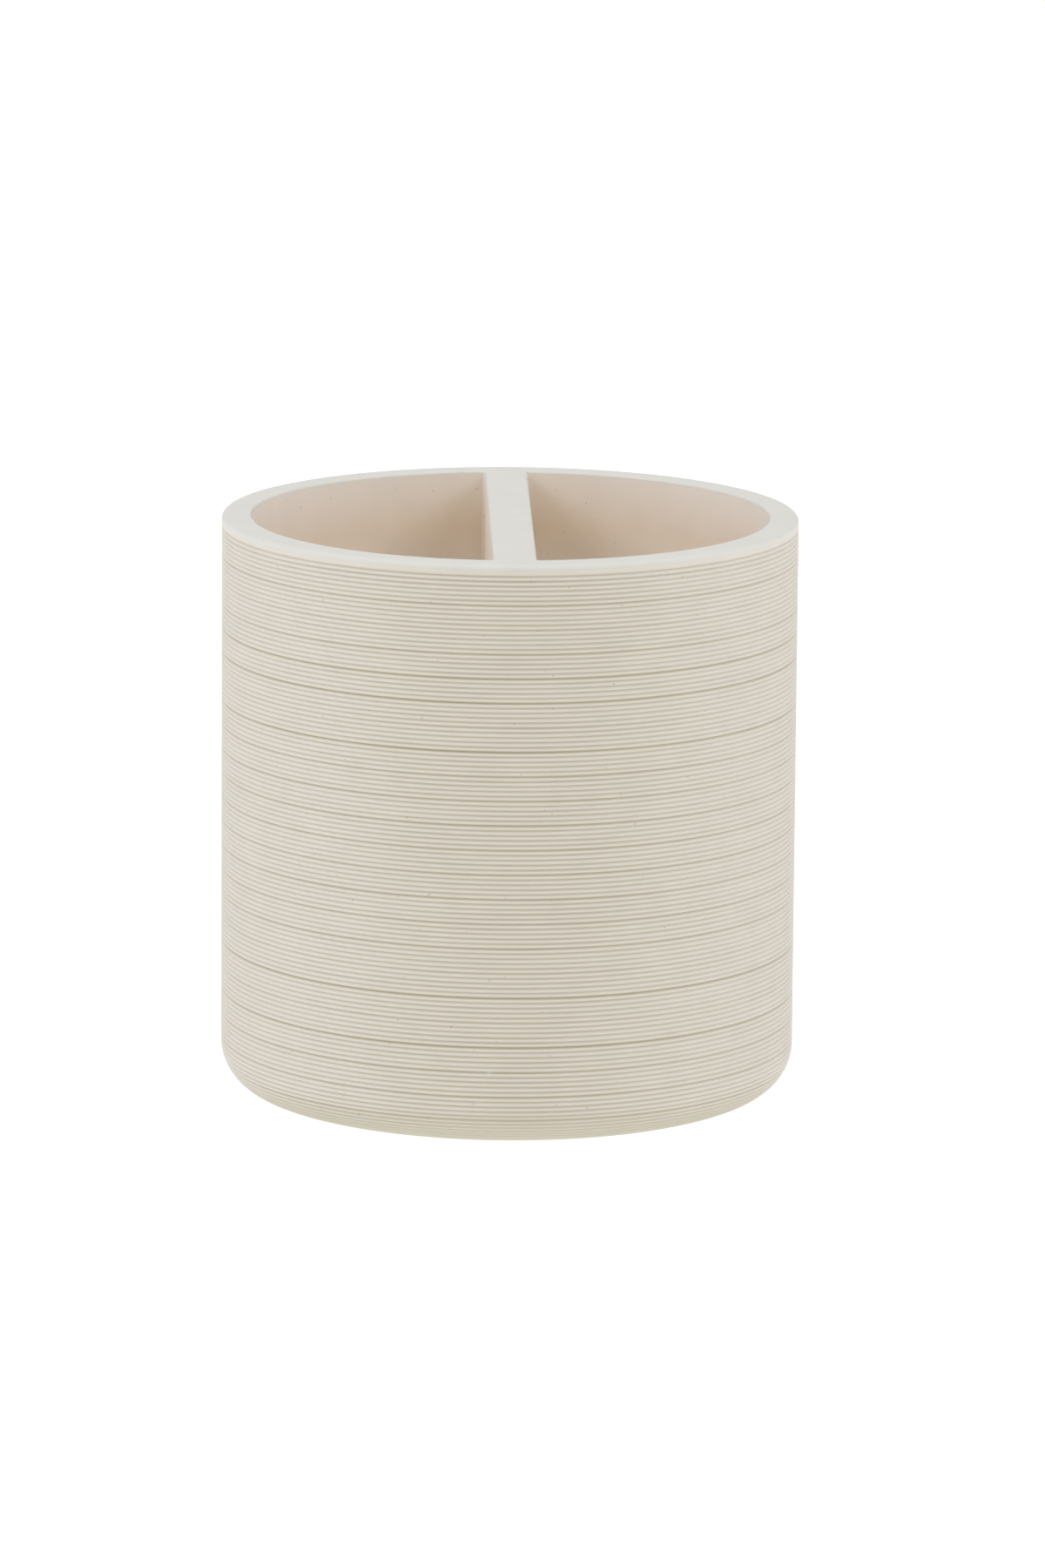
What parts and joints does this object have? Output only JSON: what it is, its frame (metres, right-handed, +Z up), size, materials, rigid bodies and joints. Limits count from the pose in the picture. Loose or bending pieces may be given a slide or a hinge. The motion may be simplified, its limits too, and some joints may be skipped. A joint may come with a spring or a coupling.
{
  "type": "toothbrush holder",
  "caption": "Squat round toothbrush cup, cast in matte ivory resin, with a divider wall making half-round wells, level grooves all round the outside and a foam foot pad.",
  "frame": {"origin": "centre of the foam pad's underside, on the surface that the holder stands on", "axes": "+Z up along the cup's axis, Y along the divider wall from front to back, X across it from well to well"},
  "size_m": [0.085, 0.085, 0.0865],
  "materials": {
    "cast_resin": "matte",
    "foam": "matte",
    "adhesive": "satin"
  },
  "bodies": {
    "root": {"cast_body": "cast_resin", "foot_pad": "foam", "adhesive_film": "adhesive"}
  },
  "joints": []
}
